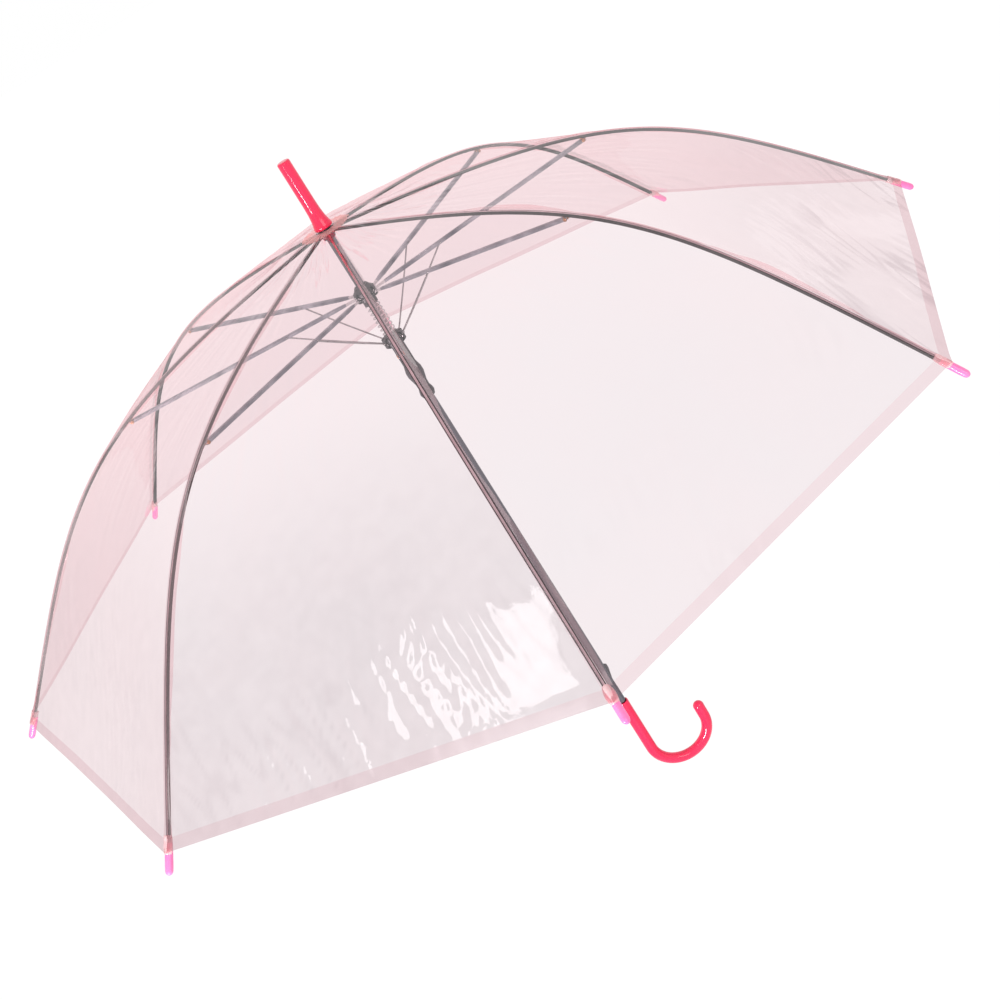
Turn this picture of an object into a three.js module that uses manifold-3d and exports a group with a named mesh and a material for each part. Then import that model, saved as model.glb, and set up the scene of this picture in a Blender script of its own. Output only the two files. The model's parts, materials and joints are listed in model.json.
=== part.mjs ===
// A child's automatic umbrella with a clear film canopy, eight folding ribs and a J hook handle.
// Millimetres, +Z up along the shaft. The origin is the middle of the straight grip.
import * as THREE from 'three';
import { mergeVertices } from 'three/addons/utils/BufferGeometryUtils.js';
import Module from 'manifold-3d';

// ---- driving dimensions ----
const CROWN_Z = 605; // rib pivots above the middle of the grip
const RIM_R = 475; // shaft axis to the end of a rib
const RIM_DROP = 0.5165 * RIM_R; // rib pivots down to the rim
const RIB_COUNT = 8;
const HALF_GORE = Math.PI / RIB_COUNT;
const GAP = 0.3;

const SHAFT_R = 4;
const SHAFT_BORE = 3.3;
const SLIDE_BORE = 4.4; // bore of every piece that slides or sits on the shaft
const SHAFT_TOP = 12;
const SHAFT_BOTTOM = -597;
const CATCH_SLOT_LOW = -554;
const CATCH_SLOT_HIGH = -518;
const CATCH_SLOT_W = 2.2;
const CATCH_W = 1.4;

const PIVOT_R = 9.5; // radius of the wire rings that the ribs, stretchers and links hang on
const WIRE_R = 0.5;
const FLANGE_R = 10.6;

const RIB_W = 3.2;
const RIB_H = 2.6;
const WALL = 0.6;
const EAR_DROP = 3.2; // rib centre line down to the stretcher's rivet
const EAR_AT = 0.3767; // place of the ear along the rib curve
const RIVET_R = 0.9;

const STRETCHER_W = 4.4;
const STRETCHER_H = 3;
const STRETCHER_CUT = 16; // left free at the hub end, where the linkage is open
const LINK_R = 0.75;
const LINK_AT = 70; // hub pivot to link pivot, along the stretcher
const LINK_CUT = 7;

const HUB_Z = -65;
const HUB_TOP = -56;
const HUB_BOTTOM = -75;
const RUNNER_Z = -113;
const RUNNER_TOP = -108.5;
const RUNNER_END = -177;
const FLANGE_HALF = 4; // half the height of the hub's and the runner's flange
const RING_GROOVE = 1.6;

const SPRING_R = 6.3;
const SPRING_WIRE_R = 0.6;
const SPRING_TURNS = 7.5;

const TIP_R = 3;
const TIP_BACK = 7.6;
const TIP_AHEAD = 16.4;

const FERRULE_BOTTOM = 4;
const FERRULE_TOP = 70;
const FERRULE_R = 6;

const FILM = 0.3;
const FILM_CLEAR = 2.3; // rib centre line to the underside of the film
const FILM_AT_CROWN = 2.1;
const FILM_BORE = 6.7;
const ROSETTE_R = 25;

const HANDLE_TOP = -572;
const HANDLE_R = 5.75;
const HOOK_Z = -640.5;
const HOOK_R = 32.25;
const HOOK_LEG = 13.3; // straight end of the hook, above the middle of its bend

// ---- materials ----
const material = (color, roughness, metalness = 0, opacity = 1) => new THREE.MeshStandardMaterial({
  color, roughness, metalness, opacity, transparent: opacity < 1,
});
const MATERIALS = {
  shaft: material(0x3a3a3e, 0.3, 0.9),
  pink: material(0xff4069, 0.25),
  rosette: material(0xf0507a, 0.35, 0, 0.6),
  black: material(0x17171a, 0.4),
  rib: material(0x55555a, 0.35, 0.9),
  steel: material(0xa8a8ac, 0.3, 1),
  tip: material(0xff96d2, 0.35),
  film: material(0xf8dfe8, 0.12, 0, 0.3),
};

// ---- booleans ----
const wasm = await Module();
wasm.setup();

function toSolid(geometry) {
  const bare = geometry.index ? geometry.toNonIndexed() : geometry.clone();
  bare.deleteAttribute('normal');
  bare.deleteAttribute('uv');
  const merged = mergeVertices(bare, 1e-4);
  const vertProperties = new Float32Array(merged.attributes.position.array);
  const triVerts = new Uint32Array(merged.index.array);
  return new wasm.Manifold(new wasm.Mesh({ numProp: 3, vertProperties, triVerts }));
}

function toGeometry(solid) {
  const mesh = solid.getMesh();
  const geometry = new THREE.BufferGeometry();
  geometry.setAttribute('position', new THREE.BufferAttribute(mesh.vertProperties, 3));
  geometry.setIndex(new THREE.BufferAttribute(mesh.triVerts, 1));
  geometry.computeVertexNormals();
  return geometry;
}

function join(first, ...others) {
  return others.reduce((whole, other) => whole.add(other), first);
}

function cut(first, ...others) {
  return others.reduce((whole, other) => whole.subtract(other), first);
}

// ---- shapes in a rib's own plane: X outward, Z up, Y across ----
const point = (x, z) => new THREE.Vector2(x, z);

function plate(outline, width) {
  const shape = new THREE.Shape(outline);
  const geometry = new THREE.ExtrudeGeometry(shape, { depth: width, bevelEnabled: false });
  geometry.rotateX(Math.PI / 2);
  geometry.translate(0, width / 2, 0);
  return toSolid(geometry);
}

function cross(at, radius, length, sides = 12) {
  const geometry = new THREE.CylinderGeometry(radius, radius, length, sides);
  geometry.translate(at.x, 0, at.y);
  return toSolid(geometry);
}

function turned(profile, sides) {
  const points = profile.map(([r, z]) => new THREE.Vector2(r, z));
  const geometry = new THREE.LatheGeometry([...points, points[0]], sides);
  geometry.rotateX(Math.PI / 2);
  return toSolid(geometry);
}

function wireRing(z) {
  const geometry = new THREE.TorusGeometry(PIVOT_R, WIRE_R, 5, 20);
  geometry.translate(0, 0, z);
  return toSolid(geometry);
}

// A bar whose outline follows two offsets of one line, from the line's start to its end.
function band(line, low, high) {
  const under = line.map(({ at, up }) => at.clone().addScaledVector(up, low));
  const over = line.map(({ at, up }) => at.clone().addScaledVector(up, high));
  return [...under, ...over.reverse()];
}

function straight(from, to) {
  const along = to.clone().sub(from).normalize();
  const up = point(-along.y, along.x);
  if (up.y < 0) up.negate();
  return [{ at: from, up }, { at: to, up }];
}

function toward(from, to, distance) {
  return from.clone().addScaledVector(to.clone().sub(from).normalize(), distance);
}

// ---- the rib's curve and the linkage at rest ----
const RIB_CURVE = new THREE.CubicBezierCurve(
  point(PIVOT_R, 0),
  point(0.592 * RIM_R, -0.076 * RIM_R),
  point(0.657 * RIM_R, -0.1515 * RIM_R),
  point(RIM_R, -RIM_DROP),
);

function ribStation(t) {
  const along = RIB_CURVE.getTangent(t);
  return { at: RIB_CURVE.getPoint(t), up: point(-along.y, along.x), along };
}

function ribLine(startPast, endPast, steps) {
  const stations = Array.from({ length: steps + 1 }, (_, i) => ribStation(i / steps));
  const first = stations[0];
  const last = stations[steps];
  const start = { at: first.at.clone().addScaledVector(first.along, -startPast), up: first.up };
  const end = { at: last.at.clone().addScaledVector(last.along, endPast), up: last.up };
  return startPast < 0 ? [start, ...stations.slice(1), end] : [start, ...stations, end];
}

const EAR = ribStation(EAR_AT);
const RIVET = EAR.at.clone().addScaledVector(EAR.up, -EAR_DROP);
const HUB_PIVOT = point(PIVOT_R, HUB_Z);
const LINK_PIVOT = toward(HUB_PIVOT, RIVET, LINK_AT);
const RUNNER_PIVOT = point(PIVOT_R, RUNNER_Z);

// ---- pieces on the shaft ----
function shaft() {
  const tube = turned([
    [SHAFT_BORE, SHAFT_BOTTOM], [SHAFT_R, SHAFT_BOTTOM], [SHAFT_R, SHAFT_TOP], [SHAFT_BORE, SHAFT_TOP],
  ], 16);
  const slot = plate([
    point(SHAFT_R / 2, CATCH_SLOT_LOW), point(SHAFT_R + 2, CATCH_SLOT_LOW),
    point(SHAFT_R + 2, CATCH_SLOT_HIGH), point(SHAFT_R / 2, CATCH_SLOT_HIGH),
  ], CATCH_SLOT_W);
  return cut(tube, slot);
}

function ferrule() {
  const base = 8.5;
  return turned([
    [SLIDE_BORE, FERRULE_BOTTOM], [base - 0.6, FERRULE_BOTTOM], [base, FERRULE_BOTTOM + 0.6],
    [base, FERRULE_BOTTOM + 3], [base - 1.2, FERRULE_BOTTOM + 5], [FERRULE_R, FERRULE_BOTTOM + 10],
    [FERRULE_R, FERRULE_TOP - 1], [FERRULE_R - 0.3, FERRULE_TOP - 0.3], [FERRULE_R - 1, FERRULE_TOP],
    [0, FERRULE_TOP], [0, SHAFT_TOP + 1], [SLIDE_BORE, SHAFT_TOP + 1],
  ], 24);
}

// A notched collar: a flange with one radial slot for each arm and a groove for its wire ring.
function notched(profile, z, slotWidth, slotFloor) {
  const body = turned(profile, 24);
  const groove = turned([
    [PIVOT_R - WIRE_R - GAP, z - RING_GROOVE / 2], [FLANGE_R + 1, z - RING_GROOVE / 2],
    [FLANGE_R + 1, z + RING_GROOVE / 2], [PIVOT_R - WIRE_R - GAP, z + RING_GROOVE / 2],
  ], 24);
  const slots = Array.from({ length: RIB_COUNT }, (_, i) => {
    const outline = [
      point(slotFloor, z - 5), point(FLANGE_R + 2, z - 5), point(FLANGE_R + 2, z + 5), point(slotFloor, z + 5),
    ];
    return plate(outline, slotWidth).rotate([0, 0, (i * 360) / RIB_COUNT]);
  });
  return cut(body, groove, ...slots);
}

function crown() {
  const neck = 5.6;
  return notched([
    [SLIDE_BORE, -6], [neck, -6], [neck + 1, -2.8], [FLANGE_R, -2.8],
    [FLANGE_R, 1.6], [neck, 1.6], [neck, FERRULE_BOTTOM - GAP], [SLIDE_BORE, FERRULE_BOTTOM - GAP],
  ], 0, RIB_W + 0.8, 6.4);
}

function rosette() {
  const under = FILM_AT_CROWN + FILM + GAP;
  const over = FERRULE_BOTTOM - GAP;
  return turned([[5.9, under], [ROSETTE_R, under], [ROSETTE_R, over], [5.9, over]], 24);
}

function hub() {
  return notched([
    [SLIDE_BORE, HUB_BOTTOM], [6.6, HUB_BOTTOM], [6.6, HUB_Z - FLANGE_HALF - 1],
    [FLANGE_R, HUB_Z - FLANGE_HALF], [FLANGE_R, HUB_Z + FLANGE_HALF], [8, HUB_TOP - 2.5],
    [6.4, HUB_TOP], [SLIDE_BORE, HUB_TOP],
  ], HUB_Z, 2.6, 7.2);
}

function runner() {
  return notched([
    [SLIDE_BORE, RUNNER_END], [6, RUNNER_END], [7.2, RUNNER_END + 3.5], [6.6, RUNNER_END + 7],
    [5.6, RUNNER_END + 10], [5.8, RUNNER_END + 15], [8, RUNNER_END + 24], [8, RUNNER_END + 29],
    [6.2, RUNNER_END + 36], [6.2, RUNNER_Z - 7], [FLANGE_R, RUNNER_TOP - 9],
    [FLANGE_R, RUNNER_TOP - 1], [7.4, RUNNER_TOP], [SLIDE_BORE, RUNNER_TOP],
  ], RUNNER_Z, 2.2, 7.2);
}

class Helix extends THREE.Curve {
  constructor(radius, bottom, top, turns) {
    super();
    Object.assign(this, { radius, bottom, top, turns });
  }

  getPoint(t, target = new THREE.Vector3()) {
    const angle = 2 * Math.PI * this.turns * t;
    const z = this.bottom + (this.top - this.bottom) * t;
    return target.set(this.radius * Math.cos(angle), this.radius * Math.sin(angle), z);
  }
}

function spring() {
  const bottom = RUNNER_TOP + SPRING_WIRE_R + GAP;
  const top = HUB_BOTTOM - SPRING_WIRE_R - GAP;
  const path = new Helix(SPRING_R, bottom, top, SPRING_TURNS);
  const section = new THREE.Shape().absarc(0, 0, SPRING_WIRE_R, 0, 2 * Math.PI);
  return toSolid(new THREE.ExtrudeGeometry(section, { steps: 76, curveSegments: 3, extrudePath: path }));
}

// ---- handle and catch ----
class HookPath extends THREE.Curve {
  getPoint(t, target = new THREE.Vector3()) {
    const drop = HANDLE_TOP - HOOK_Z;
    const arc = HOOK_R * Math.PI;
    const run = t * (drop + arc + HOOK_LEG);
    if (run < drop) return target.set(0, 0, HANDLE_TOP - run);
    if (run > drop + arc) return target.set(2 * HOOK_R, 0, HOOK_Z + run - drop - arc);
    const angle = Math.PI + (run - drop) / HOOK_R;
    return target.set(HOOK_R + HOOK_R * Math.cos(angle), 0, HOOK_Z + HOOK_R * Math.sin(angle));
  }
}

function handle() {
  const section = new THREE.Shape().absarc(0, 0, HANDLE_R, 0, 2 * Math.PI);
  const grip = toSolid(new THREE.ExtrudeGeometry(section, {
    steps: 34, curveSegments: 7, extrudePath: new HookPath(),
  }));
  const end = new THREE.SphereGeometry(HANDLE_R * 0.985, 14, 8);
  end.translate(2 * HOOK_R, 0, HOOK_Z + HOOK_LEG);
  const socket = turned([
    [0, SHAFT_BOTTOM - 1], [SLIDE_BORE, SHAFT_BOTTOM - 1], [SLIDE_BORE, HANDLE_TOP + 1], [0, HANDLE_TOP + 1],
  ], 16);
  return cut(join(grip, toSolid(end)), socket);
}

function catchBlade() {
  return plate([
    point(1.1, -551), point(2.6, -551), point(3.1, -545), point(6.4, -528),
    point(6.4, -524), point(2.9, -521), point(1.5, -521),
  ], CATCH_W);
}

// ---- one rib's pieces ----
function rib() {
  const channel = RIB_W - 2 * WALL;
  const body = plate(band(ribLine(1.9, 3, 18), -RIB_H / 2, RIB_H / 2), RIB_W);
  const hollow = plate(band(ribLine(-6, 6, 18), -RIB_H, RIB_H / 2 - WALL), channel);
  const side = EAR.along.clone().multiplyScalar(2.4);
  const top = EAR.at.clone().addScaledVector(EAR.up, RIB_H / 2 - 0.3);
  const ear = plate([
    top.clone().sub(side), RIVET.clone().sub(side.clone().multiplyScalar(0.7)),
    RIVET.clone().addScaledVector(EAR.up, -1.7), RIVET.clone().add(side.clone().multiplyScalar(0.7)),
    top.clone().add(side),
  ], channel + 0.2);
  const eye = cross(point(PIVOT_R, 0), WIRE_R + 0.45, RIB_W + 2);
  const rivet = cross(RIVET, RIVET_R, STRETCHER_W + 1);
  return join(cut(body, hollow, eye), ear, rivet);
}

function stretcher() {
  const outer = toward(RIVET, HUB_PIVOT, -2);
  const inner = toward(HUB_PIVOT, RIVET, STRETCHER_CUT);
  const past = toward(HUB_PIVOT, RIVET, STRETCHER_CUT - 2);
  const throat = straight(toward(RIVET, HUB_PIVOT, 6), toward(RIVET, HUB_PIVOT, -4));
  const channel = STRETCHER_W - 2 * WALL;
  const body = plate(band(straight(inner, outer), -STRETCHER_H / 2, STRETCHER_H / 2), STRETCHER_W);
  const hollow = plate(
    band(straight(past, throat[1].at), -STRETCHER_H, STRETCHER_H / 2 - WALL), channel);
  const fork = plate(band(throat, -STRETCHER_H, STRETCHER_H), channel);
  const rivetHole = cross(RIVET, RIVET_R + 0.35, STRETCHER_W + 2);
  const linkHole = cross(linkPin(), LINK_R + 0.35, STRETCHER_W + 2);
  return cut(body, hollow, fork, rivetHole, linkHole);
}

function linkPin() {
  return LINK_PIVOT.clone().add(point(0, -0.3));
}

function rod(from, to, radius, sides) {
  const length = to.distanceTo(from);
  const geometry = new THREE.CylinderGeometry(radius, radius, length, sides);
  const middle = from.clone().add(to).multiplyScalar(0.5);
  geometry.rotateX(Math.PI / 2);
  geometry.rotateY(Math.atan2(to.x - from.x, to.y - from.y));
  geometry.translate(middle.x, 0, middle.y);
  return toSolid(geometry);
}

function link() {
  const inner = toward(RUNNER_PIVOT, linkPin(), LINK_CUT);
  const pin = cross(linkPin(), LINK_R, STRETCHER_W + 1, 8);
  return join(rod(inner, linkPin(), LINK_R, 8), pin);
}

function tip() {
  const end = ribStation(1);
  const bore = 2.45;
  const cap = turned([
    [bore, -TIP_BACK], [TIP_R - 0.3, -TIP_BACK], [TIP_R, -TIP_BACK + 0.5], [TIP_R, TIP_AHEAD - 3],
    [TIP_R * 0.87, TIP_AHEAD - 1.5], [TIP_R * 0.5, TIP_AHEAD - 0.4], [0, TIP_AHEAD],
    [0, 4.5], [bore, 4.5],
  ], 12);
  const slope = THREE.MathUtils.radToDeg(Math.atan2(end.along.x, end.along.y));
  return cap.rotate([0, slope, 0]).translate([end.at.x, 0, end.at.y]);
}

// ---- canopy film, in the frame of the plane midway between two ribs ----
function filmLine() {
  const steps = 18;
  const outer = Array.from({ length: steps - 1 }, (_, i) => {
    const t = (i + 2) / steps;
    const { at, up } = ribStation(t);
    const clear = t < 1 ? FILM_CLEAR : TIP_R + 2 * GAP;
    return { at: at.clone().addScaledVector(up, clear), up };
  });
  const level = point(0, 1);
  const inner = [FILM_BORE, ROSETTE_R].map((r) => ({ at: point(r, FILM_AT_CROWN), up: level }));
  return [...inner, ...outer].map(({ at, up }) => ({ at: point(at.x * Math.cos(HALF_GORE), at.y), up }));
}

// side is -1 or 1: which side of the middle plane the half gore lies on
function halfGore(side) {
  const reach = RIM_R * 1.2;
  const tan = Math.tan(HALF_GORE);
  const slit = GAP / 2;
  const sheet = plate(band(filmLine(), 0, FILM), 2 * reach * tan);
  const wedge = new THREE.Shape([
    point((slit + slit / Math.cos(HALF_GORE)) / tan, side * slit),
    point(reach, side * slit),
    point(reach, side * (reach * tan - slit / Math.cos(HALF_GORE))),
  ]);
  const column = new THREE.ExtrudeGeometry(wedge, { depth: 2 * RIM_R, bevelEnabled: false });
  column.translate(0, 0, -RIM_R);
  return sheet.intersect(toSolid(column));
}

// ---- assembly ----
const umbrella = new THREE.Group();
const canopy = new THREE.Group();
canopy.position.z = CROWN_Z;
umbrella.add(canopy);

function place(name, solid, look, azimuth = 0) {
  const mesh = new THREE.Mesh(toGeometry(solid), look);
  mesh.name = name;
  mesh.rotation.z = azimuth;
  canopy.add(mesh);
}

place('shaft', shaft(), MATERIALS.shaft);
place('ferrule', ferrule(), MATERIALS.pink);
place('crown', crown(), MATERIALS.black);
place('crown_wire', wireRing(0), MATERIALS.steel);
place('rosette', rosette(), MATERIALS.rosette);
place('hub', hub(), MATERIALS.black);
place('hub_wire', wireRing(HUB_Z), MATERIALS.steel);
place('spring', spring(), MATERIALS.steel);
place('runner', runner(), MATERIALS.black);
place('runner_wire', wireRing(RUNNER_Z), MATERIALS.steel);
place('handle', handle(), MATERIALS.pink);
place('catch', catchBlade(), MATERIALS.black);

const ribSolid = rib();
const stretcherSolid = stretcher();
const linkSolid = link();
const tipSolid = tip();
const leftFilm = halfGore(-1);
const rightFilm = halfGore(1);
for (let i = 0; i < RIB_COUNT; i += 1) {
  const azimuth = (2 * Math.PI * i) / RIB_COUNT;
  const n = i + 1;
  place(`rib_${n}`, ribSolid, MATERIALS.rib, azimuth);
  place(`stretcher_${n}`, stretcherSolid, MATERIALS.rib, azimuth);
  place(`link_${n}`, linkSolid, MATERIALS.steel, azimuth);
  place(`tip_${n}`, tipSolid, MATERIALS.tip, azimuth);
  place(`film_${n}_left`, leftFilm, MATERIALS.film, azimuth + HALF_GORE);
  place(`film_${n}_right`, rightFilm, MATERIALS.film, azimuth - HALF_GORE);
}

export default umbrella;
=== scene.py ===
"""A child's automatic umbrella with a clear pink film canopy. Metres, with +Z up the shaft."""

import json
import math

import bpy
from mathutils import Matrix, Vector, noise


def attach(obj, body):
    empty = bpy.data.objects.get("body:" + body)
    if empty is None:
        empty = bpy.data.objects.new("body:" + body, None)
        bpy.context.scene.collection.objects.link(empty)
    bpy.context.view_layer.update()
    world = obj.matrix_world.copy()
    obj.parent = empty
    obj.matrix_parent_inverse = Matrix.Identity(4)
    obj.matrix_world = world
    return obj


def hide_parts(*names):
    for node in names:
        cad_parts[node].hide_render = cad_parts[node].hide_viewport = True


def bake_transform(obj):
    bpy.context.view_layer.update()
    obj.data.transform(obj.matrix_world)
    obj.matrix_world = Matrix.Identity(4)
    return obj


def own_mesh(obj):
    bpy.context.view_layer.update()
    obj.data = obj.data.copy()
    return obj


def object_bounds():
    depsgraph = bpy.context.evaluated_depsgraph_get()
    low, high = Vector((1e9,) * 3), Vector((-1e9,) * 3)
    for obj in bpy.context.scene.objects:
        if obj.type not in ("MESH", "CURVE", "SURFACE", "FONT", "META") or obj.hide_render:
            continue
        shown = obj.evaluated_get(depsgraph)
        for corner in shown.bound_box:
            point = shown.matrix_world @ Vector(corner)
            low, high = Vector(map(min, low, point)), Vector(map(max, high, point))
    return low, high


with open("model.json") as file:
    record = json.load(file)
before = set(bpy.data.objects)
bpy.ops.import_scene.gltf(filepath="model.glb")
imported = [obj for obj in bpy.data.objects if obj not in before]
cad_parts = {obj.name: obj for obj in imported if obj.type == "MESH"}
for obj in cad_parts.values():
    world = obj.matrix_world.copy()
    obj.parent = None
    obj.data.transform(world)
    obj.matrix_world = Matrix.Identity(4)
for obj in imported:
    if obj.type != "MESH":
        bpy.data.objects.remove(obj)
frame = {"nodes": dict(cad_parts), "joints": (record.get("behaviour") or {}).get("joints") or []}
CAD_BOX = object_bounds()

# ---- sizes, from the frame ----
MM = 0.001
RIBS = 8
HALF = math.pi / RIBS
JOINTS = {j["name"]: j for j in frame["joints"]}
CROWN = Vector((0, 0, JOINTS["canopy_fold"]["pos_m"][2]))
PIVOT_R = JOINTS["canopy_fold"]["pos_m"][0]
RIVET = (JOINTS["stretcher_fold_1"]["pos_m"][0], JOINTS["stretcher_fold_1"]["pos_m"][2] - CROWN.z)
LINK_PIN = (JOINTS["link_fold_1"]["pos_m"][0], JOINTS["link_fold_1"]["pos_m"][2] - CROWN.z)
HUB_PIVOT = (PIVOT_R, -65 * MM)
RUNNER_PIVOT = (PIVOT_R, -113 * MM)
RIM_R = 475 * MM
RIM_DROP = 0.5165 * RIM_R
EAR_AT = 0.3767
FILM_CLEAR = 2.3 * MM

RIB_CURVE = [
    Vector((PIVOT_R, 0)),
    Vector((0.592, -0.076)) * RIM_R,
    Vector((0.657, -0.1515)) * RIM_R,
    Vector((RIM_R, -RIM_DROP)),
]


def rib_station(t):
    """Point, direction and upward normal of the rib's centre line, in its own plane (outward, up)."""
    a, b, c, d = RIB_CURVE
    s = 1 - t
    at = a * s**3 + b * (3 * s * s * t) + c * (3 * s * t * t) + d * t**3
    along = ((b - a) * (s * s) + (c - b) * (2 * s * t) + (d - c) * (t * t)).normalized()
    return at, along, Vector((-along.y, along.x))


def smooth(low, high, x):
    t = min(1.0, max(0.0, (x - low) / (high - low)))
    return t * t * (3 - 2 * t)


def rib_place(k):
    """Matrix from rib k's plane (X outward, Y across, Z up, crown at the origin) to the row frame."""
    return Matrix.Translation(CROWN) @ Matrix.Rotation(2 * math.pi * (k - 1) / RIBS, 4, "Z")


# ---- mesh helpers ----
def piece(name, verts, faces, materials, face_slots=None, shade=True):
    mesh = bpy.data.meshes.new(name)
    mesh.from_pydata([tuple(v) for v in verts], [], faces)
    for m in materials:
        mesh.materials.append(m)
    if face_slots:
        mesh.polygons.foreach_set("material_index", face_slots)
    if shade:
        mesh.polygons.foreach_set("use_smooth", [True] * len(mesh.polygons))
    mesh.update()
    obj = bpy.data.objects.new(name, mesh)
    bpy.context.collection.objects.link(obj)
    return obj


def rings_to_mesh(rings, closed_ends=True, wrap=False):
    """Verts and faces of a tube through rings of equal length. wrap joins the last ring to the first."""
    n = len(rings[0])
    verts = [v for ring in rings for v in ring]
    faces = []
    count = len(rings)
    for i in range(count if wrap else count - 1):
        j = (i + 1) % count
        for a in range(n):
            b = (a + 1) % n
            faces.append((i * n + a, i * n + b, j * n + b, j * n + a))
    if closed_ends and not wrap:
        faces.append(tuple(reversed(range(n))))
        faces.append(tuple((count - 1) * n + a for a in range(n)))
    return verts, faces


def circle(radius, count):
    angles = [2 * math.pi * i / count for i in range(count)]
    return [(radius * math.cos(a), radius * math.sin(a)) for a in angles]


def sweep(points, section, up=Vector((0, 1, 0)), scale=None):
    """Rings of section (side, up) along points. up is kept as near as it can be to the given way."""
    rings = []
    for i, p in enumerate(points):
        ahead = points[min(i + 1, len(points) - 1)]
        behind = points[max(i - 1, 0)]
        along = (ahead - behind).normalized()
        side = along.cross(up).normalized()
        rise = side.cross(along)
        k = scale(i / (len(points) - 1)) if scale else (1, 1)
        rings.append([p + side * (x * k[0]) + rise * (y * k[1]) for x, y in section])
    return rings


def turned(profile, count):
    """Verts and faces of a profile [(r, z), ...] turned about Z. A hair's breadth of r closes an end."""
    rings = [[Vector((x, y, z)) for x, y in circle(r, count)] for r, z in profile]
    return rings_to_mesh(rings, closed_ends=False)


def fillet(profile, radius, steps=4):
    """The profile with every corner between its ends rounded."""
    made = [profile[0]]
    for i in range(1, len(profile) - 1):
        p, a, b = Vector(profile[i]), Vector(profile[i - 1]), Vector(profile[i + 1])
        r = min(radius, (a - p).length * 0.45, (b - p).length * 0.45)
        start, end = p + (a - p).normalized() * r, p + (b - p).normalized() * r
        for s in range(steps + 1):
            t = s / steps
            made.append(tuple(start * (1 - t) ** 2 + p * (2 * t * (1 - t)) + end * t * t))
    made.append(profile[-1])
    return made


def moved(verts, matrix):
    return [matrix @ Vector(v) for v in verts]


def add_bevel(obj, width, angle=35, segments=2):
    m = obj.modifiers.new("edges", "BEVEL")
    m.width = width
    m.segments = segments
    m.limit_method = "ANGLE"
    m.angle_limit = math.radians(angle)
    m.harden_normals = False


# ---- materials ----
GRAIN_DEPTH = 0.2 * MM
RIPPLE_DEPTH = 0.6 * MM
SHADE_COLOR = (0.63, 0.59, 0.61)  # the colour painted shade multiplies the film's light by, where the shade is fullest
MOST_SHINE = 0.22  # the largest share of its light that film mirrors


def new_material(name):
    m = bpy.data.materials.new(name)
    m.use_nodes = True
    return m, m.node_tree.nodes, m.node_tree.links


def noise_node(nodes, links, scale, detail=3.0, stretch=(1, 1, 1)):
    where = nodes.new("ShaderNodeTexCoord")
    mapping = nodes.new("ShaderNodeMapping")
    mapping.inputs["Scale"].default_value = stretch
    tex = nodes.new("ShaderNodeTexNoise")
    tex.inputs["Scale"].default_value = scale
    tex.inputs["Detail"].default_value = detail
    links.new(where.outputs["Object"], mapping.inputs["Vector"])
    links.new(mapping.outputs["Vector"], tex.inputs["Vector"])
    return tex


def feed(links, socket, value):
    """Give a socket a number, a colour or the output of another node."""
    if isinstance(value, bpy.types.NodeSocket):
        links.new(value, socket)
    elif isinstance(value, tuple):
        socket.default_value = (*value, 1)
    else:
        socket.default_value = value


def math_node(nodes, links, operation, *values, clamp=False):
    node = nodes.new("ShaderNodeMath")
    node.operation = operation
    node.use_clamp = clamp
    for i, value in enumerate(values):
        feed(links, node.inputs[i], value)
    return node.outputs["Value"]


def mixed_color(nodes, links, blend, share, first, second):
    node = nodes.new("ShaderNodeMix")
    node.data_type = "RGBA"
    node.blend_type = blend
    feed(links, node.inputs["Factor"], share)
    feed(links, node.inputs["A"], first)
    feed(links, node.inputs["B"], second)
    return node.outputs["Result"]


def mixed_shader(nodes, links, share, first, second):
    node = nodes.new("ShaderNodeMixShader")
    links.new(share, node.inputs["Fac"])
    links.new(first, node.inputs[1])
    links.new(second, node.inputs[2])
    return node.outputs["Shader"]


def stored(nodes, name):
    """A value that the mesh keeps at each vertex, 0 where it has none."""
    node = nodes.new("ShaderNodeAttribute")
    node.attribute_name = name
    return node.outputs["Fac"]


def bump_node(nodes, links, source, strength, distance):
    node = nodes.new("ShaderNodeBump")
    node.inputs["Strength"].default_value = strength
    node.inputs["Distance"].default_value = distance
    links.new(source, node.inputs["Height"])
    return node.outputs["Normal"]


def ramp_node(nodes, links, source, stops):
    ramp = nodes.new("ShaderNodeValToRGB")
    ramp.color_ramp.elements[0].position = stops[0][0]
    ramp.color_ramp.elements[0].color = stops[0][1]
    ramp.color_ramp.elements[1].position = stops[-1][0]
    ramp.color_ramp.elements[1].color = stops[-1][1]
    for position, color in stops[1:-1]:
        e = ramp.color_ramp.elements.new(position)
        e.color = color
    links.new(source, ramp.inputs["Fac"])
    return ramp


def solid_material(name, dark, light, rough, metal=0.0, scale=60, bump=0.05, coat=0.0, stretch=(1, 1, 1)):
    """An opaque material, mottled between two colours and two roughnesses, with a fine grain."""
    m, nodes, links = new_material(name)
    p = nodes["Principled BSDF"]
    p.inputs["Metallic"].default_value = metal
    p.inputs["Coat Weight"].default_value = coat
    p.inputs["Coat Roughness"].default_value = 0.08
    tex = noise_node(nodes, links, scale, 4.0, stretch)
    color = ramp_node(nodes, links, tex.outputs["Fac"], [(0.3, (*dark, 1)), (0.7, (*light, 1))])
    links.new(color.outputs["Color"], p.inputs["Base Color"])
    spread = nodes.new("ShaderNodeMapRange")
    spread.inputs["To Min"].default_value = rough[0]
    spread.inputs["To Max"].default_value = rough[1]
    links.new(tex.outputs["Fac"], spread.inputs["Value"])
    links.new(spread.outputs["Result"], p.inputs["Roughness"])
    fine = noise_node(nodes, links, scale * 9, 2.0, stretch)
    links.new(bump_node(nodes, links, fine.outputs["Fac"], bump, GRAIN_DEPTH), p.inputs["Normal"])
    return m


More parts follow.
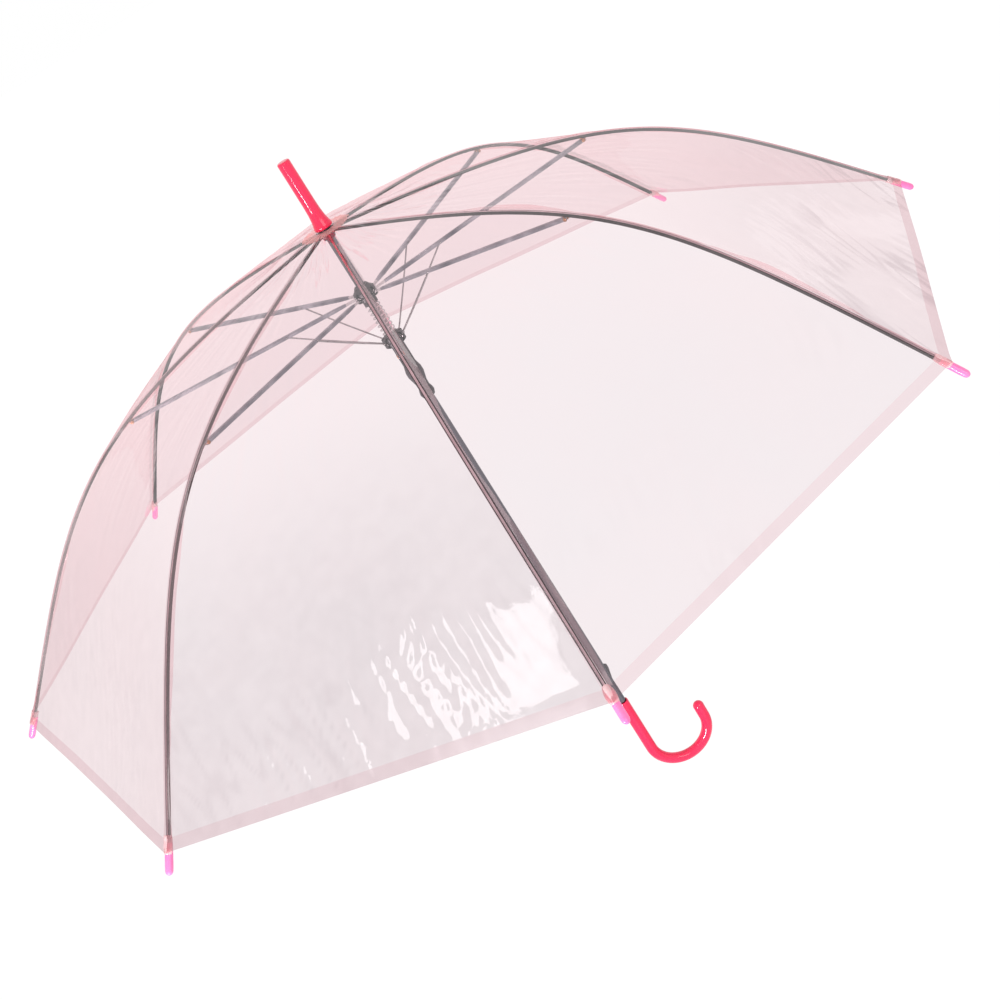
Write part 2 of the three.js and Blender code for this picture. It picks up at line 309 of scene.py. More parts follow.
def film_material(name, thin, deep, haze, haze_color, gloss=1.0, rough=0.07, ripple=0.12):
    """Clear film. It tints what is behind it, most where seen edge on, and has a thin haze and a gloss."""
    m, nodes, links = new_material(name)
    nodes.remove(nodes["Principled BSDF"])
    cloud = noise_node(nodes, links, 9.0, 4.0).outputs["Fac"]
    fine = noise_node(nodes, links, 70.0, 3.0).outputs["Fac"]
    ripples = bump_node(nodes, links, fine, ripple, RIPPLE_DEPTH)
    edge = nodes.new("ShaderNodeLayerWeight")
    edge.inputs["Blend"].default_value = 0.35
    uneven = math_node(nodes, links, "MULTIPLY_ADD", cloud, 0.3, -0.15)
    veined = math_node(nodes, links, "ADD", stored(nodes, "density"), uneven)
    depth = math_node(nodes, links, "ADD", edge.outputs["Facing"], veined, clamp=True)
    tint = mixed_color(nodes, links, "MIX", depth, thin, deep)
    # Painted shade: what the film lets through is greyed by the stored shade amount, broken up by the fine
    # grain.
    grain = math_node(nodes, links, "MULTIPLY_ADD", fine, 0.7, 0.65)
    shade_share = math_node(nodes, links, "MULTIPLY", stored(nodes, "painted_shade"), grain, clamp=True)
    clear = nodes.new("ShaderNodeBsdfTransparent")
    links.new(mixed_color(nodes, links, "MULTIPLY", shade_share, tint, SHADE_COLOR), clear.inputs["Color"])
    body = nodes.new("ShaderNodeBsdfPrincipled")
    body.inputs["Base Color"].default_value = (*haze_color, 1)
    body.inputs["Roughness"].default_value = 0.45
    body.inputs["Specular IOR Level"].default_value = 0.3
    spread = nodes.new("ShaderNodeMapRange")
    spread.inputs["From Min"].default_value = 0.3
    spread.inputs["From Max"].default_value = 0.7
    spread.inputs["To Min"].default_value = haze * 0.7
    spread.inputs["To Max"].default_value = haze * 1.3
    links.new(cloud, spread.inputs["Value"])
    veil = mixed_shader(nodes, links, spread.outputs["Result"], clear.outputs["BSDF"], body.outputs["BSDF"])
    shine = nodes.new("ShaderNodeBsdfGlossy")
    shine.inputs["Roughness"].default_value = rough
    shine.inputs["Color"].default_value = (1, 1, 1, 1)
    links.new(ripples, shine.inputs["Normal"])
    fresnel = nodes.new("ShaderNodeFresnel")
    fresnel.inputs["IOR"].default_value = 1.5
    links.new(ripples, fresnel.inputs["Normal"])
    strength = math_node(nodes, links, "MULTIPLY", fresnel.outputs["Fac"], gloss, clamp=True)
    most = math_node(nodes, links, "MINIMUM", strength, MOST_SHINE)
    both = mixed_shader(nodes, links, most, veil, shine.outputs["BSDF"])
    links.new(both, nodes["Material Output"].inputs["Surface"])
    return m


FILM = film_material(
    "film", (0.89, 0.828, 0.847), (0.975, 0.765, 0.785), 0.03, (0.96, 0.87, 0.89), gloss=0.9, rough=0.04)
WELD = film_material(
    "weld", (0.885, 0.76, 0.785), (0.84, 0.56, 0.595), 0.015, (0.95, 0.74, 0.78),
    gloss=0.6, rough=0.16, ripple=0.3)
FIN = film_material(
    "fin", (0.95, 0.76, 0.78), (0.90, 0.62, 0.65), 0.1, (1.0, 0.80, 0.82), gloss=0.35, rough=0.2, ripple=0.3)
POCKET = film_material(
    "pocket", (1.0, 0.78, 0.79), (0.96, 0.6, 0.62), 0.55, (1.0, 0.66, 0.68), gloss=0.9, rough=0.2)
ROSETTE = film_material(
    "rosette_film", (1.0, 0.80, 0.79), (1.0, 0.64, 0.64), 0.4, (1.0, 0.58, 0.56), gloss=0.4, rough=0.25)
PINK = solid_material(
    "pink_plastic", (0.76, 0.008, 0.062), (0.83, 0.012, 0.078), (0.1, 0.15), scale=25, bump=0.001, coat=0.25)
TIP = solid_material(
    "tip_plastic", (0.84, 0.15, 0.40), (0.90, 0.20, 0.46), (0.22, 0.34), scale=60, bump=0.04, coat=0.3)
BLACK = solid_material(
    "black_plastic", (0.03, 0.028, 0.034), (0.065, 0.06, 0.07), (0.28, 0.42), scale=80, bump=0.08)
SHAFT = solid_material(
    "shaft_steel", (0.12, 0.115, 0.14), (0.24, 0.23, 0.26), (0.1, 0.2),
    metal=1.0, scale=30, bump=0.03, stretch=(1, 1, 0.05))
# Lit and shaded copies of the rib steel: this light one on the channel's flat back paints its highlight, and
# the near-black one below on the other faces paints its shade.
RIB_LIT = solid_material(
    "rib_steel", (0.6, 0.54, 0.55), (0.8, 0.74, 0.75), (0.16, 0.28), metal=1.0, scale=60, bump=0.04)
RIB_SHADE = solid_material(
    "rib_painted_shade", (0.008, 0.006, 0.007), (0.03, 0.024, 0.026), (0.35, 0.55), metal=0.2, scale=60, bump=0.06)
STRETCHER = solid_material(
    "stretcher_steel", (0.13, 0.13, 0.16), (0.5, 0.5, 0.55), (0.28, 0.44), metal=0.95, scale=38, bump=0.1)
WIRE = solid_material(
    "wire_steel", (0.32, 0.29, 0.3), (0.5, 0.47, 0.48), (0.22, 0.35), metal=1.0, scale=120, bump=0.05)
BRIGHT = solid_material(
    "bright_steel", (0.62, 0.61, 0.62), (0.82, 0.81, 0.82), (0.14, 0.24), metal=1.0, scale=120, bump=0.03)
COPPER = solid_material(
    "copper_rivet", (0.42, 0.20, 0.12), (0.62, 0.33, 0.2), (0.25, 0.4), metal=1.0, scale=150, bump=0.08)


# ---- canopy ----
# How creased each gore is near its hem, and which way its creases lean, from the +X rib round.
CREASED = [0.45, 0.4, 0.4, 0.4, 0.5, 1.0, 0.4, 1.0]
LEAN = [0.5, -0.4, 0.3, -0.3, 0.4, 0.35, -0.5, -0.75]
# For the same gores: the extra tint near the hem, how much painted shade greys the lower half, and how dark
# its fine lines of painted dark reflection are.
DENSE = [0.1, 0.05, 0.05, 0.05, 0.2, 0.12, 0.06, 0.12]
LOWER_SHADE = [0.1, 0.05, 0.05, 0.05, 0.36, 0.4, 0.05, 0.28]
DARK_REFLECTION_LINES = [0.1, 0.05, 0.05, 0.05, 0.1, 0.14, 0.05, 0.45]

WELD_WIDTH = 3.4 * MM
HEM_WIDTH = 9.0 * MM
CROWN_FILM = 2.25 * MM  # the film's height where it reaches the crown
CROWN_FILM_R = 6.8 * MM


def crease_field(across, along, lean, seed):
    """Long irregular creases, sharp along their tops. across and along are metres on the film."""
    c, s = math.cos(lean), math.sin(lean)
    x, y = across * c + along * s, along * c - across * s
    warp = noise.noise(Vector((x * 14, y * 9, seed))) * 0.02
    wide = noise.noise(Vector(((x + warp) * 80, y * 9, seed + 3.0)))
    thin = noise.noise(Vector(((x + warp) * 165, y * 18, seed + 7.0)))
    cross = noise.noise(Vector((x * 40, (y + warp) * 75, seed + 9.0)))
    patch = smooth(-0.25, 0.3, noise.noise(Vector((across * 9, along * 11, seed + 11.0))))
    return patch * ((0.35 - abs(wide)) * 1.1 + 0.65 * (0.3 - abs(thin)) + 0.15 * abs(cross))


def film_height(at, to_middle, to_rib, from_hem, gore):
    """How far the film stands off its taut shape: gathers at the crown, soft waves, and creases at the hem."""
    radius = math.hypot(at.x, at.y)
    azimuth = math.atan2(at.y, at.x)
    gathers = 0.0007 * smooth(0.15, 0.02, radius) * math.sin(azimuth * 56 + 5 * noise.noise(at * 22))
    gathers += 0.0008 * smooth(0.30, 0.05, radius) * noise.noise(Vector((azimuth * 24, radius * 7, 1.7)))
    waves = 0.002 * noise.noise(at * 7) * smooth(0.05, 0.2, radius)
    reach = 0.22 + 0.10 * noise.noise(Vector((azimuth * 6, 0.3, 5.1)))
    crease = CREASED[gore] * smooth(reach, 0.02, from_hem) * smooth(0.0, 0.012, from_hem)
    folds = 0.0016 * crease * crease_field(to_middle, from_hem, LEAN[gore], 4.0 + gore)
    waist = smooth(0.17, 0.21, radius) * smooth(0.33, 0.25, radius)
    ring = 0.0005 * waist * noise.noise(Vector((azimuth * 40, radius * 25, 2.9)))
    return (gathers + waves + folds + ring) * smooth(0.0, 0.018, to_rib)


def film_line(steps):
    """Stations of the film over a rib, crown to hem: (point, normal)."""
    stations = [(Vector((CROWN_FILM_R, CROWN_FILM)), Vector((0, 1)))]
    for i in range(steps + 1):
        t = (i / steps) ** 0.9
        at, _, up = rib_station(t)
        clear = FILM_CLEAR + 0.15 * MM + 1.4 * MM * smooth(0.965, 1.0, t)
        p = at + up * clear
        p.y = max(p.y, CROWN_FILM) if p.x < 0.024 else p.y + (CROWN_FILM - p.y) * smooth(0.07, 0.024, p.x)
        stations.append((p, up))
    return stations


def film_density(at, from_hem, gore):
    """How much more tint the film has than where it is taut: where it is gathered, and where it is creased."""
    radius = math.hypot(at.x, at.y)
    azimuth = math.atan2(at.y, at.x)
    veins = noise.noise(Vector((azimuth * 30, radius * 8, 3.3)))
    gathered = smooth(0.14, 0.02, radius) * (0.14 + 0.35 * veins)
    creased = DENSE[gore] * smooth(0.36, 0.04, from_hem)
    waist = 0.3 * smooth(0.08, 0.15, radius) * smooth(0.27, 0.19, radius)
    streaks = max(0.0, noise.noise(Vector((azimuth * 34, radius * 9, 6.1))))
    streaks *= smooth(-0.1, 0.3, noise.noise(at * 9))
    return max(0.0, gathered + waist * streaks + creased * (1 + 0.6 * noise.noise(at * 14)))


def film_painted_shade(at, from_hem, to_middle, gore):
    """Painted shade on the film: it greys most over the lower half of some gores, and fine darker lines near
    the hem are painted dark reflections.
    """
    wide = smooth(0.31, 0.08, from_hem) * (1 + 0.25 * noise.noise(at * 6))
    c, s = math.cos(LEAN[gore]), math.sin(LEAN[gore])
    x, y = to_middle * c + from_hem * s, from_hem * c - to_middle * s
    patch = smooth(-0.1, 0.25, noise.noise(Vector((to_middle * 10, from_hem * 13, gore + 2.0))))
    patch *= smooth(0.15, 0.05, from_hem)
    lines = smooth(0.2, 0.0, abs(noise.noise(Vector((x * 78, y * 13, gore + 5.0))))) * patch
    return max(0.0, min(1.0, LOWER_SHADE[gore] * wide + DARK_REFLECTION_LINES[gore] * lines))


def half_gore(k, side, rows=190, columns=60):
    """Film from rib k to the middle of the gore beside it. side 1 is anticlockwise seen from above."""
    place = rib_place(k)
    gore = (k - 1 if side > 0 else k - 2) % RIBS
    line = film_line(rows)
    hand = "left" if side > 0 else "right"
    verts, faces, slots, density, painted_shade = [], [], [], [], []
    cos_h, sin_h = math.cos(HALF), math.sin(HALF)
    turn = Matrix.Rotation(side * HALF, 3, "Z")
    spans = []
    length = [0.0]
    for i in range(1, len(line)):
        length.append(length[-1] + (line[i][0] - line[i - 1][0]).length)
    for row, (p, up) in enumerate(line):
        from_hem = length[-1] - length[row]
        width = p.x * sin_h
        spans.append(width)
        for c in range(columns + 1):
            u = (c / columns) ** 1.15
            if c == 1:
                u = min(max(WELD_WIDTH / max(width, 1e-6), 0.004), 1 / columns)
            reach = u * width
            flat = Vector((p.x - reach * sin_h, side * reach * cos_h, p.y))
            normal = turn @ Vector((up.x, 0, up.y))
            world = place.to_3x3() @ flat
            to_middle = side * (reach - width)
            flat += normal * film_height(world, to_middle, reach, from_hem, gore)
            verts.append(place @ flat)
            density.append(film_density(world, from_hem, gore))
            # The stored shade is painted shade, with painted dark reflections near the hem.
            painted_shade.append(film_painted_shade(world, from_hem, to_middle, gore))
    count = len(line)
    for i in range(count - 1):
        for c in range(columns):
            a = i * (columns + 1) + c
            quad = (a, a + 1, a + columns + 2, a + columns + 1)
            faces.append(quad if side < 0 else tuple(reversed(quad)))
            near_hem = length[-1] - 0.5 * (length[i] + length[i + 1]) < HEM_WIDTH
            slots.append(1 if near_hem or (c == 0 and spans[i] > 12 * MM) else 0)
    obj = piece(f"canopy_{k}_{hand}", verts, faces, [FILM, WELD], slots)
    obj.data.attributes.new("density", "FLOAT", "POINT").data.foreach_set("value", density)
    obj.data.attributes.new("painted_shade", "FLOAT", "POINT").data.foreach_set("value", painted_shade)
    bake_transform(obj)
    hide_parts(f"film_{k}_{hand}")


END_SPEED = 0.713  # metres of rib to one of t, near the rib's end
POCKET_HALF = (4.1 * MM, 3.2 * MM)  # half its width and height, a little back from the rim


def pocket(k):
    """The welded pocket that holds the end of rib k at the rim."""
    place = rib_place(k)
    rings = []
    for i in range(15):
        s = -13 * MM + 14 * MM * i / 14
        t = 1 + s / END_SPEED
        q, direction, rise = rib_station(min(t, 1.0))
        if t > 1:
            q = q + direction * s
        width = POCKET_HALF[0] * math.sqrt(max(0.02, 1 - ((s + 5 * MM) / (9 * MM)) ** 2))
        ring = []
        for a in range(20):
            angle = 2 * math.pi * a / 20
            x = width * math.cos(angle)
            y = POCKET_HALF[1] * math.sin(angle) * smooth(1.08, 0.2, abs(x) / (6 * MM))
            y += 0.25 * MM * noise.noise(Vector((x * 400, s * 300, k)))
            point = q + rise * (y + 0.5 * MM)
            ring.append(place @ Vector((point.x, x, point.y)))
        rings.append(ring)
    verts, faces = rings_to_mesh(rings)
    obj = piece(f"rib_pocket_{k}", verts, faces, [POCKET])
    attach(obj, f"rib_arm_{k}")


# The strip is about 5 mm wide. It is declared larger than it is, since a sheet's least width is 10 mm.
FIN_WIDTH = 5.4 * MM


def seam_fin(k):
    """The welded edge of the two gores that meet over rib k: a narrow strip that curls beside the rib."""
    place = rib_place(k)
    rows, columns = 110, 5
    verts, faces = [], []
    for i in range(rows + 1):
        at, _, up = rib_station(0.045 + 0.94 * i / rows)
        slow = noise.noise(Vector((i * 0.045, k * 2.3, 0.5)))
        quick = noise.noise(Vector((i * 0.17, k, 6.5)))
        curl = 0.6 + 0.4 * slow + 0.25 * quick
        root = at + up * (FILM_CLEAR - 0.25 * MM)
        for j in range(columns + 1):
            share = j / columns
            turn = curl + 0.7 * share * math.sin(i * 0.11 + k)
            out = 1.9 * MM + FIN_WIDTH * share * math.cos(turn) * 0.8
            drop = FIN_WIDTH * share * math.sin(turn) * smooth(0.0, 0.06, i / rows)
            point = root - up * drop
            verts.append(place @ Vector((point.x, out, point.y)))
    for i in range(rows):
        for j in range(columns):
            a = i * (columns + 1) + j
            faces.append((a, a + 1, a + columns + 2, a + columns + 1))
    obj = piece(f"seam_fin_{k}", verts, faces, [FIN])
    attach(obj, f"rib_arm_{k}")


# ---- one rib's metal ----
BACK_FACE = 4  # which face of each length of channel is its flat back
BRIGHT_FACES = 24  # bare metal at the hub end: one ring of faces and most of the next


def channel_section(width, height, wall):
    """A U opening down, as a closed outline of (side, up) points with broken corners."""
    w, h, c = width / 2, height / 2, wall * 0.55
    inner, back = w - wall, w * 0.52
    return [
        (-w, -h), (-w, h - c), (-w + c * 0.3, h - c * 0.3), (-w + c, h), (-back, h),
        (back, h), (w - c, h), (w - c * 0.3, h - c * 0.3), (w, h - c), (w, -h),
        (inner, -h), (inner, h - wall), (-inner, h - wall), (-inner, -h),
    ]


def in_plane(point, y=0.0):
    return Vector((point[0], y, point[1]))


def rib(k):
    place = rib_place(k)
    stations = [rib_station(i / 72) for i in range(73)]
    first, last = stations[0], stations[-1]
    path = [first[0] - first[1] * 1.9 * MM] + [s[0] for s in stations] + [last[0] + last[1] * 3 * MM]
    section = channel_section(3.2 * MM, 2.6 * MM, 0.6 * MM)
    rings = sweep([in_plane(p) for p in path], section, up=Vector((0, 0, 1)))
    verts, faces = rings_to_mesh(rings)
    sides = len(faces) - 2
    # The flat back takes the lit copy with its painted highlight; every other face takes the painted shade.
    slots = [0 if i % len(section) == BACK_FACE and i < sides else 1 for i in range(len(faces))]
    obj = piece(f"rib_channel_{k}", moved(verts, place), faces, [RIB_LIT, RIB_SHADE], slots, shade=False)
    add_bevel(obj, 0.12 * MM)
    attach(obj, f"rib_arm_{k}")
    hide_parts(f"rib_{k}")
    ear_and_rivet(k, place)


def ear_and_rivet(k, place):
    at, along, up = rib_station(EAR_AT)
    rivet = Vector(RIVET)
    outline = []
    for i in range(13):
        angle = math.pi * i / 12
        outline.append(rivet + along * (1.8 * MM * math.cos(angle)) - up * (1.8 * MM * math.sin(angle)))
    top = at + up * 0.9 * MM
    outline += [top - along * 4.2 * MM, top + along * 4.2 * MM]
    verts = [in_plane(p, y) for y in (-1.1 * MM, 1.1 * MM) for p in outline]
    n = len(outline)
    faces = [tuple(range(n)), tuple(reversed(range(n, 2 * n)))]
    faces += [(a, n + a, n + (a + 1) % n, (a + 1) % n) for a in range(n)]
    ear = piece(f"rib_ear_{k}", moved(verts, place), faces, [COPPER], shade=False)
    add_bevel(ear, 0.25 * MM)
    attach(ear, f"rib_arm_{k}")
    lower = [(0, -3.1), (1.5, -3.1), (1.7, -2.75), (1.7, -2.45), (0.9, -2.4)]
    upper = [(r, -z) for r, z in reversed(lower)]
    profile = fillet(lower + upper, 0.2, 2)
    verts, faces = turned([(max(r, 0.001) * MM, z * MM) for r, z in profile], 20)
    seat = place @ Matrix.Translation(in_plane(RIVET)) @ Matrix.Rotation(math.pi / 2, 4, "X")
    rivet_obj = piece(f"rib_rivet_{k}", moved(verts, seat), faces, [COPPER])
    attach(rivet_obj, f"rib_arm_{k}")


def stretcher(k):
    place = rib_place(k)
    start, end = Vector(HUB_PIVOT), Vector(RIVET)
    along = (end - start).normalized()
    length = (end - start).length
    path = [start + along * s for s in [-0.8 * MM + (length + 2.8 * MM) * i / 40 for i in range(41)]]

    def narrow(share):
        root = smooth(0.03, 0.11, share)
        dent = 1 - 0.1 * math.exp(-(((share - 0.31) * length / (5 * MM)) ** 2))
        return ((0.5 + 0.5 * root) * dent, 0.75 + 0.25 * root)

    section = channel_section(4.4 * MM, 3.0 * MM, 0.6 * MM)
    rings = sweep([in_plane(p) for p in path], section, up=Vector((0, 0, 1)), scale=narrow)
    verts, faces = rings_to_mesh(rings)
    slots = [1 if i < BRIGHT_FACES or i == len(faces) - 2 else 0 for i in range(len(faces))]
    obj = piece(f"stretcher_channel_{k}", moved(verts, place), faces, [STRETCHER, BRIGHT], slots, shade=False)
    add_bevel(obj, 0.15 * MM)
    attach(obj, f"stretcher_arm_{k}")
    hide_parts(f"stretcher_{k}")
    eye = ring_eye(HUB_PIVOT, 1.5 * MM, 0.75 * MM)
    eye_obj = piece(f"stretcher_eye_{k}", moved(eye[0], place), eye[1], [BRIGHT])
    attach(eye_obj, f"stretcher_arm_{k}")


def ring_eye(centre, radius, wire, count=24, sides=10):
    """A small wire ring about an axis across the rib's plane."""
    rings = []
    for i in range(count):
        a = 2 * math.pi * i / count
        out = Vector((math.cos(a), 0, math.sin(a)))
        middle = in_plane(centre) + out * radius
        rings.append([middle + out * x + Vector((0, y, 0)) for x, y in circle(wire, sides)])
    return rings_to_mesh(rings, wrap=True)


def link(k):
    place = rib_place(k)
    a, b = in_plane(RUNNER_PIVOT), in_plane(LINK_PIN)
    along = (b - a).normalized()
    points = []
    for i in range(33):
        s = i / 32
        bow = Vector((0, 0, -0.5 * MM)) * math.sin(math.pi * s)
        points.append(a + along * 1.5 * MM + (b - a - along * 1.5 * MM) * s + bow)
    rings = sweep(points, circle(0.72 * MM, 12))
    verts, faces = rings_to_mesh(rings)
    parts = [(verts, faces), ring_eye(RUNNER_PIVOT, 1.35 * MM, 0.62 * MM)]
    pin = [in_plane(LINK_PIN, y * MM) for y in (-2.9, -2.6, -1.3, 0, 1.3, 2.6, 2.9)]
    parts.append(rings_to_mesh(sweep(pin, circle(0.72 * MM, 12), up=Vector((0, 0, 1)))))
    verts, faces = joined(parts)
    obj = piece(f"link_wire_{k}", moved(verts, place), faces, [WIRE])
    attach(obj, f"link_arm_{k}")
    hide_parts(f"link_{k}")


def joined(parts):
    verts, faces = [], []
    for v, f in parts:
        base = len(verts)
        verts += list(v)
        faces += [tuple(base + i for i in face) for face in f]
    return verts, faces


def tip(k):
    """The moulded cap on the end of rib k: a hollow barrel with a groove near its mouth and a rounded nose."""
    at, along, _ = rib_station(1.0)
    mouth = [(2.45, 4.4), (2.45, -7.4), (2.62, -7.6), (2.85, -7.5), (3.0, -7.1), (3.02, -5.4)]
    groove = [(2.8, -5.1), (2.8, -4.6), (3.0, -4.3)]
    profile = mouth + groove + [(3.1, 2), (3.15, 9), (3.05, 12.6)]
    for i in range(1, 10):
        a = math.pi / 2 * i / 9
        profile.append((3.05 * math.cos(a), 12.6 + 3.7 * math.sin(a)))
    verts, faces = turned([(max(r, 0.002) * MM, z * MM) for r, z in profile], 32)
    slope = math.atan2(along.x, along.y)
    seat = rib_place(k) @ Matrix.Translation(in_plane(at)) @ Matrix.Rotation(slope, 4, "Y")
    obj = piece(f"tip_cap_{k}", moved(verts, seat), faces, [TIP])
    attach(obj, f"rib_arm_{k}")
    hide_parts(f"tip_{k}")


# ---- pieces on the shaft ----
def ferrule():
    foot = [(4.4, 13), (4.4, 4.05), (7.9, 4.05), (8.5, 4.6), (8.5, 7.2), (7.9, 9)]
    stem = [(7.0, 13), (6.25, 20), (6.0, 30), (5.95, 69), (5.0, 70), (0, 70)]
    profile = fillet(foot + stem, 1.6, 6)
    verts, faces = turned([(max(r, 0.002) * MM, z * MM) for r, z in profile], 64)
    obj = piece("ferrule_moulding", moved(verts, Matrix.Translation(CROWN)), faces, [PINK])
    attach(obj, "frame")
    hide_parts("ferrule")


def rosette_petal(k):
    """One eighth of the gathered collar of coloured film under the ferrule."""
    rows, columns = 16, 40
    middle = 2 * math.pi * (k - 1) / RIBS
    inner, outer = 9.4 * MM, 24.8 * MM
    verts, faces = [], []
    for i in range(rows + 1):
        share = i / rows
        for j in range(columns + 1):
            side = 2 * j / columns - 1
            a = middle + HALF * side * (1 - 0.04 * share)
            edge = Vector((math.cos(a) * 3, math.sin(a) * 3, 0.4))
            ragged = 1 - share * (0.07 * abs(side) ** 3 + 0.2 * (0.5 + 0.5 * noise.noise(edge * 2.2)))
            r = inner + (outer - inner) * share * ragged
            ruffle = math.sin(a * 40 + 3.0 * noise.noise(edge)) * (0.25 + 0.75 * share)
            z = 3.15 * MM + 0.42 * MM * ruffle * min(1.0, share * 3) - 0.9 * MM * share * share
            verts.append(CROWN + Vector((r * math.cos(a), r * math.sin(a), z)))
    for i in range(rows):
        for j in range(columns):
            a = i * (columns + 1) + j
            faces.append((a, a + columns + 1, a + columns + 2, a + 1))
    obj = piece(f"rosette_petal_{k}", verts, faces, [ROSETTE])
    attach(obj, f"rib_arm_{k}")
    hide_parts("rosette")


def handle():
    top, centre, hook_r, leg = -572 * MM, -640.5 * MM, 32.25 * MM, 13.3 * MM
    path = [Vector((0, 0, top + (centre - top) * i / 10)) for i in range(11)]
    for i in range(1, 65):
        a = math.pi + math.pi * i / 64
        path.append(Vector((hook_r + hook_r * math.cos(a), 0, centre + hook_r * math.sin(a))))
    path += [Vector((2 * hook_r, 0, centre + leg * i / 6)) for i in range(1, 7)]
    radius = 5.75 * MM
    rings = sweep(path, circle(radius, 40))
    last = path[-1]
    way = Vector((0, 0, 1))
    cap = rings[-1]
    for i in range(1, 11):
        a = math.pi / 2 * i / 10
        middle = last + way * (radius * math.sin(a))
        rings.append([middle + (v - last) * max(math.cos(a), 0.01) for v in cap])
    mouth = []
    for r, dz in ((4.35, -24), (4.35, -0.6), (4.6, -0.1), (5.2, 0.0), (5.62, -0.3)):
        mouth.append([Vector((x, y, top + dz * MM)) for x, y in ring_like(rings[0], r * MM)])
    rings = mouth + [[v + Vector((0, 0, -0.8 * MM)) for v in rings[0]]] + rings[1:]
    verts, faces = rings_to_mesh(rings)
    obj = piece("hook_handle", moved(verts, Matrix.Translation(CROWN)), faces, [PINK])
    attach(obj, "frame")
    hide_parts("handle")


def ring_like(ring, radius):
    """Points of radius at the same angles about Z as ring's."""
    return [(radius * v.x / math.hypot(v.x, v.y), radius * v.y / math.hypot(v.x, v.y)) for v in ring]


def coil_spring(turns=7.5, radius=6.3 * MM, wire=0.6 * MM):
    """The coil between the two collars. It hangs from the hub."""
    node = bpy.data.objects["spring"]
    heights = [(node.matrix_world @ Vector(corner)).z for corner in node.bound_box]
    low, high = min(heights) + wire, max(heights) - wire
    path = []
    for i in range(int(turns * 32) + 1):
        angle = 2 * math.pi * i / 32
        height = low + (high - low) * angle / (2 * math.pi * turns)
        path.append(Vector((radius * math.cos(angle), radius * math.sin(angle), height)))
    verts, faces = rings_to_mesh(sweep(path, circle(wire, 10), up=Vector((0, 0, 1))))
    obj = piece("coil_spring", verts, faces, [BRIGHT])
    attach(obj, "hub_body")
    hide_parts("spring")
    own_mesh(obj)


def dress_cad(node, material, bevel=0.0):
    """Show a CAD node as it is, in a material, with its edges broken if bevel is given."""
    obj = frame["nodes"][node]
    obj.data.materials.clear()
    obj.data.materials.append(material)
    if bevel:
        add_bevel(obj, bevel, 40)


for number in range(1, RIBS + 1):
    half_gore(number, 1)
    half_gore(number, -1)
    pocket(number)
    rib(number)
    stretcher(number)
    link(number)
    tip(number)
    seam_fin(number)
    rosette_petal(number)
ferrule()
handle()
dress_cad("shaft", SHAFT)
dress_cad("crown", BLACK, 0.15 * MM)
dress_cad("crown_wire", BRIGHT)
dress_cad("hub", BLACK, 0.2 * MM)
dress_cad("hub_wire", BRIGHT)
coil_spring()
dress_cad("runner", BLACK, 0.2 * MM)
dress_cad("runner_wire", BRIGHT)
dress_cad("catch", BLACK, 0.15 * MM)


# ---- floor, light and camera ----
def floor():
    m, nodes, _ = new_material("pale_floor")
    p = nodes["Principled BSDF"]
    p.inputs["Base Color"].default_value = (0.2, 0.2, 0.2, 1)
    p.inputs["Roughness"].default_value = 0.9
    p.inputs["Emission Color"].default_value = (1, 1, 1, 1)
    p.inputs["Emission Strength"].default_value = 0.79
    half = 30.0
    z = CAD_BOX[0][2] - 0.9
    verts = [(-half, -half, z), (half, -half, z), (half, half, z), (-half, half, z)]
    obj = piece("floor", verts, [(0, 1, 2, 3)], [m], shade=False)
    obj.visible_glossy = False


def area_light(name, place, target, size, power):
    data = bpy.data.lights.new(name, "AREA")
    data.shape = "RECTANGLE"
    data.size, data.size_y = size
    data.energy = power
    obj = bpy.data.objects.new(name, data)
    bpy.context.collection.objects.link(obj)
    obj.location = place
    obj.rotation_euler = (Vector(target) - Vector(place)).to_track_quat("-Z", "Y").to_euler()


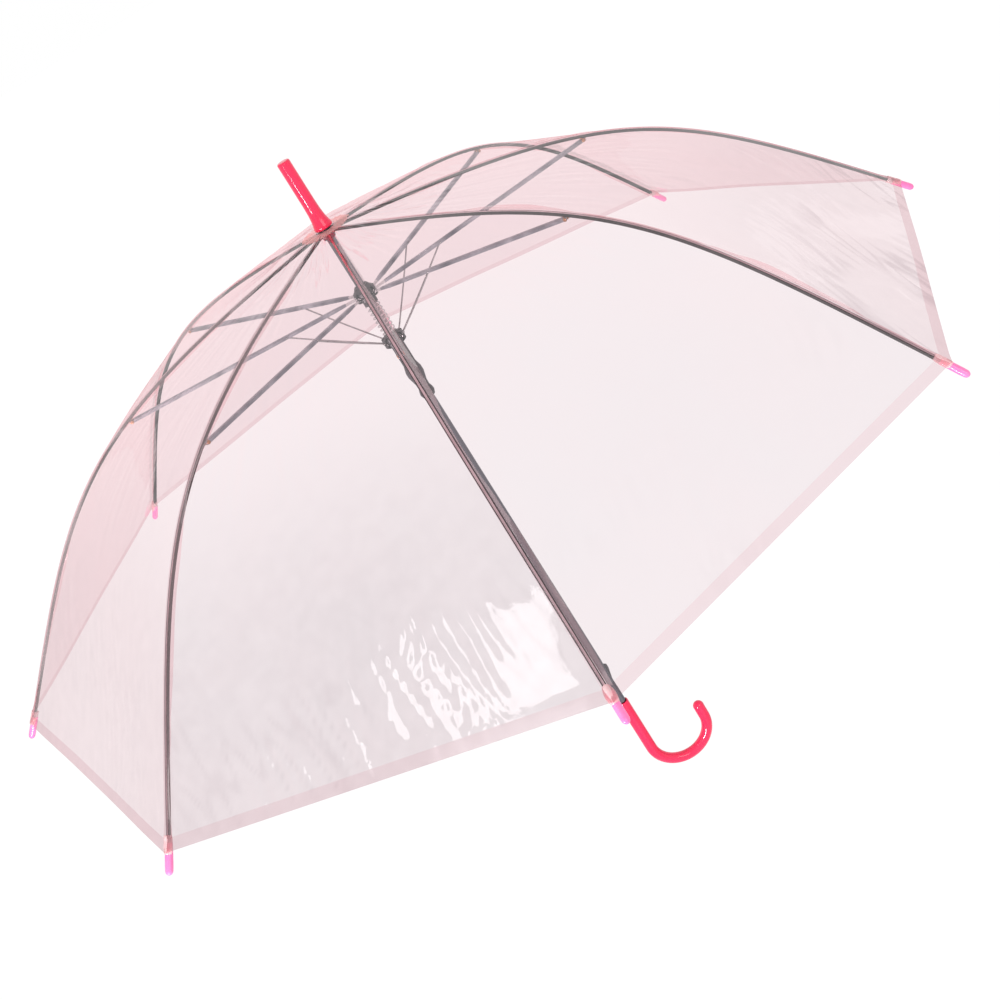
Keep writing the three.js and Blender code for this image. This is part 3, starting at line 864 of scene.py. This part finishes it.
def studio():
    """A white backdrop, with darker sides that only reflections and bounced light see, and four soft boxes."""
    world = bpy.data.worlds.new("studio")
    bpy.context.scene.world = world
    world.use_nodes = True
    nodes, links = world.node_tree.nodes, world.node_tree.links
    white, black, grey, pale = (1, 1, 1, 1), (0, 0, 0, 1), (0.7, 0.7, 0.71, 1), (0.9, 0.9, 0.9, 1)
    where = nodes.new("ShaderNodeTexCoord")
    split = nodes.new("ShaderNodeSeparateXYZ")
    links.new(where.outputs["Generated"], split.inputs["Vector"])
    sideways = math_node(nodes, links, "ABSOLUTE", split.outputs["X"])
    across = [(0.0, white), (0.3, white), (0.48, grey), (0.82, grey), (1.0, pale)]
    walls = ramp_node(nodes, links, sideways, across)
    height = math_node(nodes, links, "MULTIPLY_ADD", split.outputs["Z"], 0.5, 0.5)
    upward = [(0.1, white), (0.2, black), (0.34, black), (0.4, white)]
    ceiling = ramp_node(nodes, links, height, upward)
    both = mixed_color(nodes, links, "LIGHTEN", 1.0, walls.outputs["Color"], ceiling.outputs["Color"])
    room = nodes["Background"].outputs["Background"]
    links.new(both, nodes["Background"].inputs["Color"])
    backdrop = nodes.new("ShaderNodeBackground")
    backdrop.inputs["Color"].default_value = white
    path = nodes.new("ShaderNodeLightPath")
    seen = mixed_shader(nodes, links, path.outputs["Is Camera Ray"], room, backdrop.outputs["Background"])
    links.new(seen, nodes["World Output"].inputs["Surface"])
    middle = (0, 0, 0.4)
    area_light("key", (-1.24, -1.28, 1.68), middle, (0.2, 0.55), 1.9)
    area_light("side", (1.9, 1.35, 0.47), middle, (0.1, 0.8), 0.06)
    area_light("strip", (-1.16, -1.38, -0.1), (0, 0, 0.3), (0.22, 0.9), 30)
    area_light("fill", (0.9, -2.2, 1.2), middle, (1.4, 1.0), 10)
    bpy.context.scene.view_settings.view_transform = "Standard"


def camera():
    data = bpy.data.cameras.new("camera")
    data.lens = 53.97
    data.sensor_width = 36
    data.shift_x = -0.0071
    data.shift_y = -0.0046
    obj = bpy.data.objects.new("camera", data)
    bpy.context.collection.objects.link(obj)
    place = CROWN + Vector((0.01216, -1.28487, 0.3063))
    target = CROWN + Vector((0.01155, -0.11089, -0.25206))
    roll = math.radians(32.0)
    aim = (target - place).to_track_quat("-Z", "Y").to_matrix().to_4x4()
    obj.matrix_world = Matrix.Translation(place) @ aim @ Matrix.Rotation(-roll, 4, "Z")
    bpy.context.scene.camera = obj


floor()
studio()
camera()
